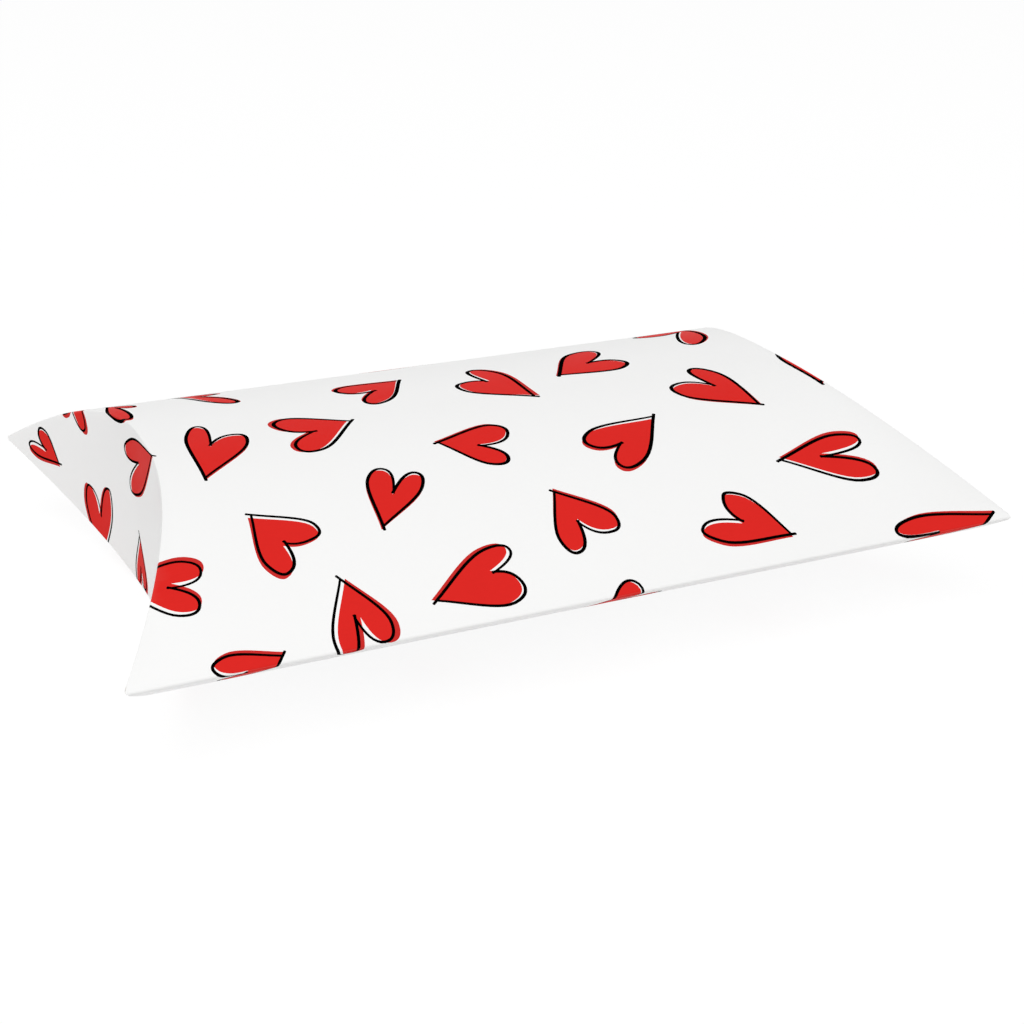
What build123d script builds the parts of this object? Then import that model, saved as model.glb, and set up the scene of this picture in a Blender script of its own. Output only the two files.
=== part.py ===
"""Pillow box: a gift box folded from one sheet of white boxboard.

Two bowed panels meet at the long folds, and each end is shut by two bowed flaps, one outside
the other. Panels and flaps all follow one and the same curve, the bow. That is what lets the
box be folded from flat board: every crease then lies in a plane at 45 degrees, and no part
of the board is stretched. X runs along the box, Y across it and Z up from the table.
"""

import os
from math import acos, atan, degrees, sin

from build123d import *

# Driving sizes of the folded box, in millimetres
box_length = 162.0  # between the points of two corners, along a long fold
box_width = 114.0  # between the long folds, taken where the two faces would meet sharp
box_height = 34.0  # over the two crowns
crown_width = 6.0  # the flat strip along each crown, on which the box rests
board = 0.4  # white folding boxboard of about 300 grams a square metre

# Folds and corners
fold_inside = 0.08  # inside radius of the two long folds, which are scored and so nearly sharp
crease_bevel_share = 0.45  # how much of the board's edge is eased at a scored end crease
tip_radius = 0.4  # the corner points, seen from above

# Glued seam under the far margin of the top panel
seam_setback = 1.6  # from the sharp line of the far fold to the raw edge of the top panel
glue_flap_width = 13.0
glue_flap_taper = 45.0  # degrees, at both ends of the glue flap
glue_gap = 0.2  # between the top panel and the glue flap, filled by pressed adhesive
glue_clearance = 0.05  # left free above and below the adhesive
glue_line_width = 7.0
glue_line_margin = 2.5  # from the raw edge of the top panel to the adhesive
glue_line_end_gap = 16.0  # from each corner point to the end of the adhesive

# Clearances of the end flaps
crease_gap = 0.12  # between a panel's end and the flap that hinges on it
flap_gap = 0.15  # between the outer flap and the inner one
free_edge_gap = 0.5  # from the free edge of the outer flap down to the bottom face
tuck_gap = 0.3  # from the free edge of the inner flap up to the top panel
outer_flap_setback = 0.7  # from the sharp line of a long fold to the end of an outer flap
inner_flap_setback = 1.4  # the same for an inner flap

# The bow: a flat crown and an arc on each side of it, down to the long fold
bow_rise = box_height / 2
bow_reach = (box_width - crown_width) / 2
edge_angle = 2 * atan(bow_rise / bow_reach)
bow_radius = bow_reach / sin(edge_angle)
bow_center_drop = bow_radius - bow_rise
bow_skirt = 4 * board + glue_gap  # how far the bow is drawn on past its chord

# Sizes that follow from these
fold_radius = fold_inside + board
crease_bevel = crease_bevel_share * board
fold_span = box_width - 2 * fold_radius * (1 / sin(edge_angle) - 1)
seam_edge = box_width / 2 - seam_setback
seam_inset = board + glue_gap
glue_line_edge = seam_edge - glue_line_margin
glue_flap_edge = seam_edge - glue_flap_width

# How far inside the ends of the box the panels stop and the inner flaps stand
top_panel_seat = board + crease_gap
inner_flap_seat = board + flap_gap
bottom_panel_seat = inner_flap_seat + board + crease_gap

# Sketch planes through the middle of the box
across = Plane(origin=(0, 0, bow_rise), x_dir=(0, 1, 0), z_dir=(1, 0, 0))
plan = Plane.XY.offset(bow_rise)


class BowedArea(BaseSketchObject):
    """Area under the bow, with its chord on the local X axis.

    The inset moves the curve towards its chord, and a negative one moves it away. The sides
    are drawn on past the chord, so that two such areas can be cut with each other.
    """

    def __init__(self, inset=0.0, rotation=0, align=None, mode=Mode.ADD):
        radius = bow_radius - inset
        sweep = degrees(acos((bow_center_drop - bow_skirt) / radius))
        depth = -bow_rise - bow_skirt
        with BuildSketch() as area:
            with BuildLine():
                right = CenterArc((crown_width / 2, -bow_center_drop), radius, 90, -sweep)
                left = mirror(right, about=Plane.YZ).edge()
                Line(left @ 0, right @ 0)
                foot = (right @ 1).X
                Polyline(right @ 1, (foot, depth), (-foot, depth), left @ 1)
            make_face()
        super().__init__(area.face(), rotation, align, mode)


class SleeveArea(BaseSketchObject):
    """Cross section of the box between an upper and a lower bow, rounded at the long folds."""

    def __init__(self, top_inset, bottom_inset, fold_radius, rotation=0, align=None, mode=Mode.ADD):
        with BuildSketch() as area:
            BowedArea(top_inset)
            BowedArea(bottom_inset, rotation=180, mode=Mode.INTERSECT)
            folds = area.vertices().group_by(Axis.X)
            fillet(folds[0] + folds[-1], fold_radius)
        super().__init__(area.face(), rotation, align, mode)


class PlanOutline(BaseSketchObject):
    """Outline of the box from above, with its ends bowed in and set back by a seat."""

    def __init__(self, seat=0.0, rotation=0, align=None, mode=Mode.ADD):
        with BuildSketch() as outline:
            Rectangle(box_length, fold_span)
            cut_ends_to_bow()
            tips = outline.vertices().group_by(Axis.Y)
            fillet(tips[0] + tips[-1], tip_radius)
            cut_ends_to_bow(seat)
        super().__init__(outline.face(), rotation, align, mode)


def cut_ends_to_bow(seat=0.0):
    """Cut both ends of the current plan sketch back to the bow, and further by the seat."""
    for end in (-1, 1):
        with Locations((end * box_length / 2, 0)):
            BowedArea(-seat, rotation=end * 90, mode=Mode.SUBTRACT)


def keep_upper_half(low, high):
    """Keep only the upper half of the current cross section, between two places across."""
    with Locations((low, 0)):
        Rectangle(high - low, box_height, align=Align.MIN, mode=Mode.INTERSECT)


# Top panel, with the upper half of the near fold and a raw edge over the seam
with BuildPart() as top_panel:
    with BuildSketch(across):
        SleeveArea(0, 0, fold_radius)
        SleeveArea(board, board, fold_inside, mode=Mode.SUBTRACT)
        keep_upper_half(-box_width / 2, seam_edge)
    extrude(amount=box_length / 2, both=True)
    with BuildSketch(plan):
        PlanOutline(top_panel_seat)
    extrude(amount=box_height, both=True, mode=Mode.INTERSECT)

# Bottom panel, with the lower halves of both long folds
with BuildPart() as bottom_panel:
    for side, lap in ((-1, 0), (1, seam_inset)):
        with BuildSketch(across):
            SleeveArea(lap, 0, fold_radius)
            SleeveArea(lap + board, board, fold_inside, mode=Mode.SUBTRACT)
            with Locations((side * box_width / 2, -bow_rise)):
                Rectangle(box_width, 2 * bow_rise, mode=Mode.INTERSECT)
        extrude(amount=box_length / 2, both=True)
    with BuildSketch(plan):
        PlanOutline(bottom_panel_seat)
    extrude(amount=box_height, both=True, mode=Mode.INTERSECT)

# Glue flap, from the middle of the far fold in under the top panel
with BuildPart() as glue_flap:
    with BuildSketch(across):
        SleeveArea(seam_inset, 0, fold_radius)
        SleeveArea(seam_inset + board, board, fold_inside, mode=Mode.SUBTRACT)
        keep_upper_half(glue_flap_edge, box_width / 2)
    extrude(amount=box_length / 2, both=True)
    with BuildSketch(plan):
        PlanOutline(bottom_panel_seat)
        with Locations((0, box_width / 2)):
            Trapezoid(
                box_length,
                box_width / 2 - glue_flap_edge,
                glue_flap_taper,
                rotation=180,
                align=(Align.CENTER, Align.MIN),
                mode=Mode.INTERSECT,
            )
    extrude(amount=box_height, both=True, mode=Mode.INTERSECT)

# The line of adhesive between the top panel and the glue flap
with BuildPart() as glue_line:
    with BuildSketch(across):
        SleeveArea(board + glue_clearance, board, fold_inside)
        SleeveArea(seam_inset - glue_clearance, board, fold_inside, mode=Mode.SUBTRACT)
        keep_upper_half(glue_line_edge - glue_line_width, glue_line_edge)
    extrude(amount=box_length / 2 - glue_line_end_gap, both=True)


def end_flap(end, seat, setback, top_inset, bottom_inset, hinge_level):
    """Build one end flap: a band of board that stands between the outer faces of the panels.

    The seat is how far inside the end of the box its outer face lies, and the insets shorten
    it at the top and the bottom. The flap hinges at the top if the hinge level is 1 and at the
    bottom if it is -1. Its crease lies in a plane at 45 degrees, so one cut eases all of it.
    """
    with BuildPart() as flap:
        with BuildSketch(plan):
            PlanOutline(seat)
            PlanOutline(seat + board, mode=Mode.SUBTRACT)
            with Locations((end * box_length / 2, 0)):
                Rectangle(box_length, box_width - 2 * setback, mode=Mode.INTERSECT)
        extrude(amount=box_height, both=True)
        with BuildSketch(across):
            SleeveArea(top_inset, bottom_inset, fold_radius)
        extrude(amount=box_length, both=True, mode=Mode.INTERSECT)
        crease_point = (end * (box_length / 2 - seat - crease_bevel), 0, bow_rise)
        split(bisect_by=Plane(crease_point, z_dir=(end, 0, hinge_level)), keep=Keep.BOTTOM)
    return flap


# Both ends: the outer flap hangs from the top panel, and the inner one stands on the bottom one
pieces = {
    "top_panel": top_panel,
    "bottom_panel": bottom_panel,
    "glue_flap": glue_flap,
    "glue_line": glue_line,
}
for side, end in (("left", -1), ("right", 1)):
    pieces[f"{side}_outer_flap"] = end_flap(end, 0, outer_flap_setback, 0, free_edge_gap, 1)
    pieces[f"{side}_inner_flap"] = end_flap(
        end, inner_flap_seat, inner_flap_setback, board + tuck_gap, 0, -1
    )

os.makedirs("parts", exist_ok=True)
for name, piece in pieces.items():
    piece.part.label = name
    export_step(piece.part, f"parts/{name}.step")
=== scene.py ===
"""Looks of a pillow box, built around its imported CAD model.

The box is one sheet of white board, printed with scattered hearts, folded and glued. Each
region of the sheet between two creases is drawn flat, as it lies on the die-cut blank, and the
print is cut into its faces. A Geometry Nodes tree then folds it along the bow, the one curve
that both panels and all four end flaps share.

A place on the blank is (u, v): u runs along the box from its middle, and v runs across the
board from the crown of a panel, both in millimetres on the printed side. The finished pieces
are in metres, in the frame of the CAD model.
"""

import logging
import math
import random
from dataclasses import dataclass, replace
from enum import Enum

import bmesh
import bpy
from mathutils import Matrix, Vector
from mathutils.geometry import delaunay_2d_cdt
from mathutils.kdtree import KDTree


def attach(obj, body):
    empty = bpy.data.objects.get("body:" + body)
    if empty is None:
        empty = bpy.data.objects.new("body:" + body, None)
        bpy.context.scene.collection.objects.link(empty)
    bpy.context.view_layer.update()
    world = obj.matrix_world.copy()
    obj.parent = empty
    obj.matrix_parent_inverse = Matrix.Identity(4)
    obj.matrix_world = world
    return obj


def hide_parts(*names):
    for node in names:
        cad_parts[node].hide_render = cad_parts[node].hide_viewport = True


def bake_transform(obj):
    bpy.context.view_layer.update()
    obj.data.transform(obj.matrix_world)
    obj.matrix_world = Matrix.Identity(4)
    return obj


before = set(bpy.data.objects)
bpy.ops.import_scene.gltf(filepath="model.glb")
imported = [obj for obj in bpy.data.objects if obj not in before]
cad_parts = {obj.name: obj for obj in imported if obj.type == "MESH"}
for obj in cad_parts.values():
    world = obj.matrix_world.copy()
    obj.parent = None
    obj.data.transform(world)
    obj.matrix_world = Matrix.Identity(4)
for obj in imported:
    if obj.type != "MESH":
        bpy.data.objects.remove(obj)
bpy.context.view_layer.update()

LOG = logging.getLogger("pillow_box")
MM = 0.001
WHITE = (1.0, 1.0, 1.0, 1.0)

# Names of the attributes that every piece of board carries
FLAT = "blank"
SCORE = "score"
FINISH = "finish"

Point = tuple[float, float]
Colour = tuple[float, float, float]
Triangle = tuple[int, int, int]
Edge = tuple[int, int]


class Finish(Enum):
    """The surfaces that a piece of board can show."""

    PRINTED = 0
    RED = 1
    RIM = 2
    LINE = 3
    PLAIN = 4
    EDGE = 5


class Level(Enum):
    """Which panel a piece of board belongs to, as the sign of its height over mid-height."""

    UPPER = 1
    LOWER = -1


class End(Enum):
    """An end of the box, as the sign of its place along the box."""

    LEFT = -1
    RIGHT = 1


# Node trees, and sums that work on plain numbers and on the sockets of a tree alike


def add_node(
    tree: bpy.types.NodeTree,
    kind: str,
    given: dict[str | int, object] | None = None,
    **settings: object,
) -> bpy.types.Node:
    """Add a node to a tree.

    Args:
        tree: the tree.
        kind: the type of the node.
        given: what each input gets, by its name or number. A field or a socket is linked to
            it, and anything else is set on the input itself.
        settings: the node's own properties, which are set first.

    Returns:
        The node.
    """
    node = tree.nodes.new(kind)
    for name, value in settings.items():
        setattr(node, name, value)
    for key, value in (given or {}).items():
        if isinstance(value, Field):
            value = value.socket
        if isinstance(value, bpy.types.NodeSocket):
            tree.links.new(value, node.inputs[key])
        else:
            node.inputs[key].default_value = value
    return node


class Field:
    """A number that varies over a node tree, joined to others by Python's own signs."""

    def __init__(self, tree: bpy.types.NodeTree, socket: bpy.types.NodeSocket) -> None:
        """Hold an output socket of a tree."""
        self.tree = tree
        self.socket = socket

    def join(self, operation: str, *others: "Number", first: bool = True) -> "Field":
        """Add a Math node.

        Args:
            operation: the node's operation.
            others: the other numbers that go in.
            first: whether this number goes in before them.

        Returns:
            The node's result.
        """
        terms = (self, *others) if first else (*others, self)
        node = add_node(self.tree, "ShaderNodeMath", dict(enumerate(terms)), operation=operation)
        return Field(self.tree, node.outputs[0])

    def __add__(self, other: "Number") -> "Field":
        """Return the sum."""
        return self.join("ADD", other)

    __radd__ = __add__

    def __sub__(self, other: "Number") -> "Field":
        """Return the difference."""
        return self.join("SUBTRACT", other)

    def __rsub__(self, other: "Number") -> "Field":
        """Return the difference from a plain number."""
        return self.join("SUBTRACT", other, first=False)

    def __mul__(self, other: "Number") -> "Field":
        """Return the product."""
        return self.join("MULTIPLY", other)

    __rmul__ = __mul__

    def __truediv__(self, other: "Number") -> "Field":
        """Return the quotient."""
        return self.join("DIVIDE", other)


Number = float | Field


def sine(value: Number) -> Number:
    """Return the sine."""
    return value.join("SINE") if isinstance(value, Field) else math.sin(value)


def cosine(value: Number) -> Number:
    """Return the cosine."""
    return value.join("COSINE") if isinstance(value, Field) else math.cos(value)


def root(value: Number) -> Number:
    """Return the square root."""
    return value.join("SQRT") if isinstance(value, Field) else math.sqrt(value)


def least(value: Number, other: Number) -> Number:
    """Return the smaller number; the first may be a field."""
    return value.join("MINIMUM", other) if isinstance(value, Field) else min(value, other)


def most(value: Number, other: Number) -> Number:
    """Return the larger number; the first may be a field."""
    return value.join("MAXIMUM", other) if isinstance(value, Field) else max(value, other)


def clamp(value: Number, low: Number, high: Number) -> Number:
    """Return the number, kept between two others."""
    return least(most(value, low), high)


# The form of the folded box


@dataclass(frozen=True)
class BoxSizes:
    """Sizes of the folded box in millimetres, as the CAD source has them."""

    length: float = 162.0
    width: float = 114.0
    height: float = 34.0
    crown: float = 3.0
    board: float = 0.4
    fold_radius: float = 0.48
    crease_radius: float = 0.3
    tip_reach: float = 80.3
    lap: float = 0.6
    seam_edge: float = 55.4
    glue_flap_width: float = 13.0
    inner_seat: float = 0.55
    outer_free_gap: float = 0.5
    inner_free_gap: float = 0.7
    outer_flap_end: float = 55.95
    inner_flap_end: float = 55.35

    @property
    def rise(self) -> float:
        """Height of a crown over mid-height."""
        return self.height / 2

    @property
    def radius(self) -> float:
        """Radius of the bow's arcs."""
        reach = self.width / 2 - self.crown
        return reach / math.sin(2 * math.atan(self.rise / reach))

    @property
    def drop(self) -> float:
        """How far below mid-height the middle of an upper arc lies."""
        return self.radius - self.rise

    @property
    def lap_radius(self) -> float:
        """Radius of the glue flap's bow, which lies inside the top panel's."""
        return self.radius - self.lap

    @property
    def far_fold_level(self) -> float:
        """Height of the far fold's axis, which the lap moves below mid-height."""
        inside = self.radius - self.fold_radius
        return -self.lap * (2 * inside - self.lap) / (4 * self.drop)

    @property
    def near_turn(self) -> float:
        """Angle of the bow up to the near fold."""
        return math.acos(self.drop / (self.radius - self.fold_radius))

    @property
    def near_fold_turn(self) -> float:
        """Angle of the near fold."""
        return math.pi - 2 * self.near_turn

    @property
    def far_turn(self) -> float:
        """Angle of the lower bow up to the far fold."""
        return math.acos((self.drop - self.far_fold_level) / (self.radius - self.fold_radius))

    @property
    def lap_turn(self) -> float:
        """Angle of the glue flap's bow where it leaves the far fold."""
        inside = self.radius - self.lap - self.fold_radius
        return math.acos((self.drop + self.far_fold_level) / inside)

    @property
    def far_fold_turn(self) -> float:
        """Angle of the far fold."""
        return math.pi - self.far_turn - self.lap_turn

    @property
    def fold_line(self) -> float:
        """Length of board from a crown to the middle of the near fold."""
        half_fold = self.fold_radius * (math.pi / 2 - self.near_turn)
        return self.crown + self.radius * self.near_turn + half_fold

    def run_to(self, place: float) -> float:
        """Return the length of board from a crown to a place across the bow."""
        return self.crown + self.radius * math.asin((place - self.crown) / self.radius)


@dataclass(frozen=True)
class FoldRule:
    """How a piece of board runs from its crown over the long folds.

    Every method takes plain numbers or fields, so that one rule serves both the outlines drawn
    here and the tree that folds them.
    """

    crown: Number
    radius: Number
    drop: Number
    fold_radius: Number
    bow_turn: Number
    fold_turn: Number
    lap_radius: Number
    half_length: Number
    crease_radius: float

    @property
    def bow_end(self) -> Number:
        """Length of board from the crown to the start of the long fold."""
        return self.crown + self.radius * self.bow_turn

    @property
    def fold_length(self) -> Number:
        """Length of board that bends round at the long fold."""
        return self.fold_radius * self.fold_turn

    @property
    def crease_half(self) -> float:
        """Half the length of board that bends round at a crease."""
        return self.crease_radius * math.pi / 4

    @property
    def crease_loss(self) -> float:
        """How much shorter the board is to the crease than the sharp corner."""
        return self.crease_radius * (1 - math.pi / 4)

    def across(self, run: Number, depth: Number) -> tuple[Number, Number]:
        """Fold the board across the box.

        Args:
            run: length of board from the crown.
            depth: depth below the printed side.

        Returns:
            The place across the box and the height over mid-height.
        """
        past_bow = run - self.crown - self.radius * self.bow_turn
        bow = clamp((run - self.crown) / self.radius, 0.0, self.bow_turn)
        fold = bow + clamp(past_bow / self.fold_radius, 0.0, self.fold_turn)
        past_fold = past_bow - self.fold_length
        lap = fold + most(past_fold / self.lap_radius, 0.0)
        wide = self.radius - depth
        tight = self.fold_radius - depth
        lapped = self.lap_radius - depth
        place = least(run, self.crown) + wide * sine(bow)
        place = place + tight * (sine(fold) - sine(bow)) + lapped * (sine(lap) - sine(fold))
        height = wide * cosine(bow) - self.drop
        height = height + tight * (cosine(fold) - cosine(bow))
        height = height + lapped * (cosine(lap) - cosine(fold))
        return place, height

    def bow_cosine(self, place: Number, radius: Number) -> Number:
        """Return how high over its middle an arc of a radius stands at a place across."""
        off = most(place - self.crown, 0.0)
        return root(radius * radius - off * off)

    def crease(self, place: Number, outset: Number) -> Number:
        """Return how far along the box a crease lies, for a bow with a larger radius."""
        return self.half_length + self.drop - self.bow_cosine(place, self.radius + outset)

    def panel(self, u: Number, run: Number, depth: Number, seat: Number) -> tuple[Number, ...]:
        """Fold a point of a panel.

        Args:
            u: length of board from the middle of the box.
            run: length of board from the crown.
            depth: depth below the printed side.
            seat: how far inside the end of the box the flap of this panel stands.

        Returns:
            Places along and across the box, height, and distance from the crease.
        """
        place, height = self.across(run, depth)
        outer_place, _ = self.across(run, 0.0)
        corner = self.crease(outer_place, seat)
        beyond = u - corner + self.crease_loss + self.crease_half
        bend = clamp(beyond / self.crease_radius, 0.0, math.pi / 4)
        outer_x = corner - self.crease_radius + least(beyond, 0.0) + self.crease_radius * sine(bend)
        outer_z = height - self.crease_radius * (1.0 - cosine(bend))
        inner_x = least(u, self.crease(place, seat + depth))
        inside = self.is_inside(depth)
        return (
            outer_x + inside * (inner_x - outer_x),
            place,
            outer_z + inside * (height - outer_z),
            self.crease_half - beyond,
        )

    def flap(self, u: Number, run: Number, depth: Number, seat: Number) -> tuple[Number, ...]:
        """Fold a point of an end flap.

        Args:
            u: length of board from the middle of the box.
            run: length of board from the crown.
            depth: depth below the printed side.
            seat: how far inside the end of the box the flap stands.

        Returns:
            Places along and across the box, height, and distance from the crease.
        """
        outer_place, crease_height = self.across(run, 0.0)
        plan_radius = self.radius + seat
        off = most(outer_place - self.crown, 0.0)
        place = least(run, self.crown) + off * (plan_radius + depth) / plan_radius
        wall = self.half_length + self.drop - self.bow_cosine(place, plan_radius + depth)
        corner = self.crease(outer_place, seat)
        beyond = u - corner + self.crease_loss
        bend = clamp((beyond + self.crease_half) / self.crease_radius, math.pi / 4, math.pi / 2)
        outer_x = wall - self.crease_radius * (1.0 - sine(bend))
        outer_z = crease_height - self.crease_radius * (1.0 - cosine(bend))
        outer_z = outer_z - most(beyond - self.crease_half, 0.0)
        under_panel = self.bow_cosine(place, self.radius - depth) - self.drop
        inner_z = least(crease_height - beyond - self.crease_loss, under_panel)
        inside = self.is_inside(depth)
        return (
            outer_x + inside * (wall - outer_x),
            place,
            outer_z + inside * (inner_z - outer_z),
            beyond,
        )

    @staticmethod
    def is_inside(depth: Number) -> Number:
        """Tell the back of the board from its printed side.

        Args:
            depth: depth below the printed side.

        Returns:
            1 below the printed side and 0 on it.
        """
        half_way = 0.1
        if isinstance(depth, Field):
            return depth.join("GREATER_THAN", half_way)
        return float(depth > half_way)


# The print


@dataclass(frozen=True)
class Lobe:
    """One side of a heart: its length back from the point and its half width, in millimetres."""

    length: float
    width: float


@dataclass(frozen=True)
class LobeCurve:
    """How the side of a heart is drawn, in shares of its lobe's length and half width.

    Three curves run from the notch to the top of the lobe, round to its flank, where it is
    widest, and in to the heart's point. Each leaves its start and arrives at its end by a
    handle. Back is how far a handle lies from the heart's point, or from the notch for the
    first one, and off is how far it lies to the side. The first two of these are shares of the
    top's own, and the third is a share of the way from there out to the flank's.
    """

    notch_leaves_back: float = 0.3
    notch_leaves_off: float = 0.1
    top_arrives_off: float = 0.3
    top_leaves_off: float = 0.8
    flank_arrives_back: float = 0.88
    flank_back: float = 0.76
    flank_leaves_back: float = 0.56
    point_arrives_back: float = 0.27
    point_arrives_off: float = 0.39
    swell_across: float = 0.6
    steps: int = 10

    def draw(self, lobe: Lobe, notch: float, plump: float, swell: float) -> list[Vector]:
        """Draw the side from the notch round the lobe to the point.

        Args:
            lobe: the sizes of the lobe.
            notch: how far back from the point the notch lies.
            plump: how far inside the flank the top lies, as a share of the half width.
            swell: how much longer the side is drawn, in millimetres.

        Returns:
            Places back from the point and across the heart, in millimetres.
        """
        length, width = lobe.length + swell, lobe.width + self.swell_across * swell
        crest = width * (1 - plump)
        notch_back = notch + self.notch_leaves_back * (length - notch)
        notch_leaves = (notch_back, self.notch_leaves_off * crest)
        top_arrives = (length, self.top_arrives_off * crest)
        top = (length, crest)
        top_leaves = (length, crest + self.top_leaves_off * (width - crest))
        flank_arrives = (self.flank_arrives_back * length, width)
        flank = (self.flank_back * length, width)
        flank_leaves = (self.flank_leaves_back * length, width)
        point_arrives = (self.point_arrives_back * length, self.point_arrives_off * width)
        places = [Vector((notch, 0.0))]
        for curve in (
            ((notch, 0.0), notch_leaves, top_arrives, top),
            (top, top_leaves, flank_arrives, flank),
            (flank, flank_leaves, point_arrives, (0.0, 0.0)),
        ):
            first, leave, arrive, last = (Vector(mark) for mark in curve)
            for step in range(1, self.steps + 1):
                t = step / self.steps
                s = 1 - t
                places.append(
                    first * s**3 + leave * (3 * s * s * t) + arrive * (3 * s * t * t) + last * t**3
                )
        return places


@dataclass(frozen=True)
class PenStroke:
    """One of the two strokes round a heart, from the notch along one side to the point.

    The hand is 1 for the left side and -1 for the right one. The stroke runs in to the notch
    and overruns the point, in millimetres. It is as wide as its press, a share of the pen's
    width, and the swing makes it wider or thinner towards the point. It is fullest round the
    lobe.
    """

    hand: int
    overrun: float
    press: float
    swing: float
    run_in: Point = (-0.55, -0.1)
    least_share: float = 0.8
    fullness: float = 0.2
    cap: float = 0.2

    def outline(self, side: list[Point], pen_width: float) -> list[Vector]:
        """Draw the stroke along one side of a heart.

        Args:
            side: the side, from the notch to the point.
            pen_width: the full width of the pen.

        Returns:
            The stroke's closed outline.
        """
        path = [Vector(place) for place in side]
        path.insert(0, path[0] + Vector((self.run_in[0], self.run_in[1] * self.hand)))
        way = (path[-1] - path[-2]).normalized()
        path.append(path[-1] + way * self.overrun)
        last = len(path) - 1
        near, far = [], []
        for i, place in enumerate(path):
            way = (path[min(i + 1, last)] - path[max(i - 1, 0)]).normalized()
            normal = Vector((-way.y, way.x))
            full = self.least_share + self.fullness * math.sin(math.pi * i / last)
            share = self.press * full + self.swing * (i / last - 0.5)
            near.append(place + normal * 0.5 * pen_width * share)
            far.append(place - normal * 0.5 * pen_width * share)
        caps = []
        for end, before in ((-1, -2), (0, 1)):
            way = (path[end] - path[before]).normalized()
            caps.append(path[end] + way * self.cap * pen_width)
        return [*near, caps[0], *reversed(far), caps[1]]


LOBE_CURVE = LobeCurve()
PEN_STROKES = (PenStroke(1, 0.9, 0.95, 0.2), PenStroke(-1, 0.1, 1.0, -0.2))


@dataclass(frozen=True)
class Heart:
    """One printed heart: a red shape, and a loose pen line round it.

    Its point is at (u, v) on the blank, in millimetres, and turn is the direction in which it
    points, in degrees. The notch lies a length back from the point. The more plump its lobes
    are, the rounder they end.
    """

    u: float
    v: float
    turn: float
    left: Lobe
    right: Lobe
    notch: float
    plump: float
    pen_slip: Point
    pen_turn: float
    pen_width: float
    pen_swell: float = -0.3

    @property
    def length(self) -> float:
        """Length of the longer lobe."""
        return max(self.left.length, self.right.length)

    @property
    def middle(self) -> Point:
        """Middle of the heart on the blank."""
        return self.to_blank((0.5 * self.length, 0.0))

    @property
    def reach(self) -> float:
        """How far from its middle the heart may reach, with room for the pen line's slip."""
        share, room = 0.75, 2.0
        return share * self.length + room

    def side(self, hand: int, swell: float = 0.0) -> list[Point]:
        """Draw the left side for a hand of 1 and the right one for -1, in the heart's axes."""
        lobe = self.left if hand > 0 else self.right
        return [(p.x, p.y * hand) for p in LOBE_CURVE.draw(lobe, self.notch, self.plump, swell)]

    @staticmethod
    def turned(place: Point, angle: float) -> Point:
        """Return a place, turned about the origin by an angle in radians."""
        x, y, cos, sin = *place, math.cos(angle), math.sin(angle)
        return x * cos - y * sin, x * sin + y * cos

    def to_blank(self, place: Point) -> Point:
        """Return the place on the blank of a point in the heart's own axes."""
        along, across = self.turned(place, math.radians(self.turn) + math.pi)
        return self.u + along, self.v + across

    def pen_to_blank(self, place: Point) -> Point:
        """Return the place on the blank of a point on the pen line, turned and slipped."""
        back, off = self.turned((place[0] - self.notch, place[1]), math.radians(self.pen_turn))
        return self.to_blank((self.notch + back + self.pen_slip[0], off + self.pen_slip[1]))

    def shape(self) -> list[Point]:
        """Return the outline of the red shape on the blank."""
        return [self.to_blank(p) for p in self.side(1) + self.side(-1)[-2:0:-1]]

    def pen_loop(self) -> list[Point]:
        """Return the outline that the pen line follows on the blank."""
        inside = self.side(1, self.pen_swell) + self.side(-1, self.pen_swell)[-2:0:-1]
        return [self.pen_to_blank(p) for p in inside]

    def strokes(self) -> list[list[Point]]:
        """Draw the two pen strokes.

        Returns:
            Their outlines on the blank, one for each side of the heart.
        """
        found = []
        for stroke in PEN_STROKES:
            outline = stroke.outline(self.side(stroke.hand, self.pen_swell), self.pen_width)
            found.append([self.pen_to_blank(tuple(p)) for p in outline])
        return found


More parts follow.
